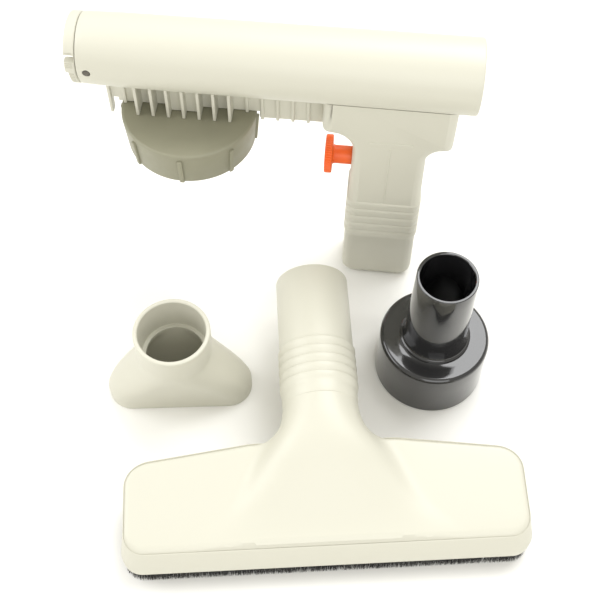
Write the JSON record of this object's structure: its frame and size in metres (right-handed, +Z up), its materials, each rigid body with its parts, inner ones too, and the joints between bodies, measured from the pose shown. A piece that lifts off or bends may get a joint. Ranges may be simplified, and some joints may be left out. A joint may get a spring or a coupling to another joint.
{
  "type": "vacuum cleaner attachment set",
  "caption": "Loose vacuum cleaner attachments: trigger spray gun with jar cap, floor brush, upholstery nozzle and black hose adapter.",
  "frame": {"origin": "on the table under the centre of the whole set's bounding box", "axes": "+Z up; +X to the right along the brush head; +Y from the brush head towards the spray gun"},
  "size_m": [0.2838, 0.2996, 0.2127],
  "materials": {
    "grey_shell": "satin",
    "dark_grey": "satin",
    "orange": "satin",
    "black_gloss": "gloss",
    "rubber": "matte",
    "bristle": "matte",
    "steel": "satin"
  },
  "bodies": {
    "floor_brush": {"brush_housing": "grey_shell", "brush_base": "dark_grey", "bristle_front": "bristle", "bristle_rear": "bristle", "base_screw_1": "steel", "base_screw_2": "steel", "base_screw_3": "steel", "base_screw_4": "steel"},
    "spray_gun": {"barrel": "grey_shell", "front_ring": "grey_shell", "front_pin_near": "steel", "front_pin_far": "steel", "rib_rail": "grey_shell", "feed_pipe": "dark_grey", "cap_retainer": "dark_grey", "spray_tip": "orange", "grip_shell_near": "grey_shell", "grip_shell_far": "grey_shell", "grip_screw_1": "steel", "grip_screw_2": "steel", "grip_screw_3": "steel", "grip_screw_4": "steel", "trigger_guide": "dark_grey", "trigger_spring": "steel", "valve_body": "dark_grey", "valve_seal": "rubber", "vent_pipe": "dark_grey"},
    "trigger": {"trigger_button": "orange", "trigger_rod": "dark_grey"},
    "cap": {"jar_cap": "grey_shell", "cap_gasket": "rubber"},
    "nozzle": {"upholstery_nozzle": "grey_shell"},
    "adapter": {"hose_adapter": "black_gloss"}
  },
  "joints": [
    {"name": "gun_lift", "type": "slide", "parent": "floor_brush", "child": "spray_gun", "axis": [0, 0, 1], "range_m": [0, 0.25]},
    {"name": "nozzle_lift", "type": "slide", "parent": "floor_brush", "child": "nozzle", "axis": [0, 0, 1], "range_m": [0, 0.2]},
    {"name": "adapter_lift", "type": "slide", "parent": "floor_brush", "child": "adapter", "axis": [0, 0, 1], "range_m": [0, 0.2]},
    {"name": "trigger_slide", "type": "slide", "parent": "spray_gun", "child": "trigger", "axis": [0.9968, -0.0802, 0], "range_m": [0, 0.009], "stiffness_N_per_m": 300, "springref_m": -0.006, "deforming": ["trigger_spring"]},
    {"name": "cap_turn", "type": "hinge", "parent": "spray_gun", "child": "cap", "pos_m": [-0.07397, 0.10575, 0.147], "axis": [0, 0, 1], "continuous": true}
  ]
}
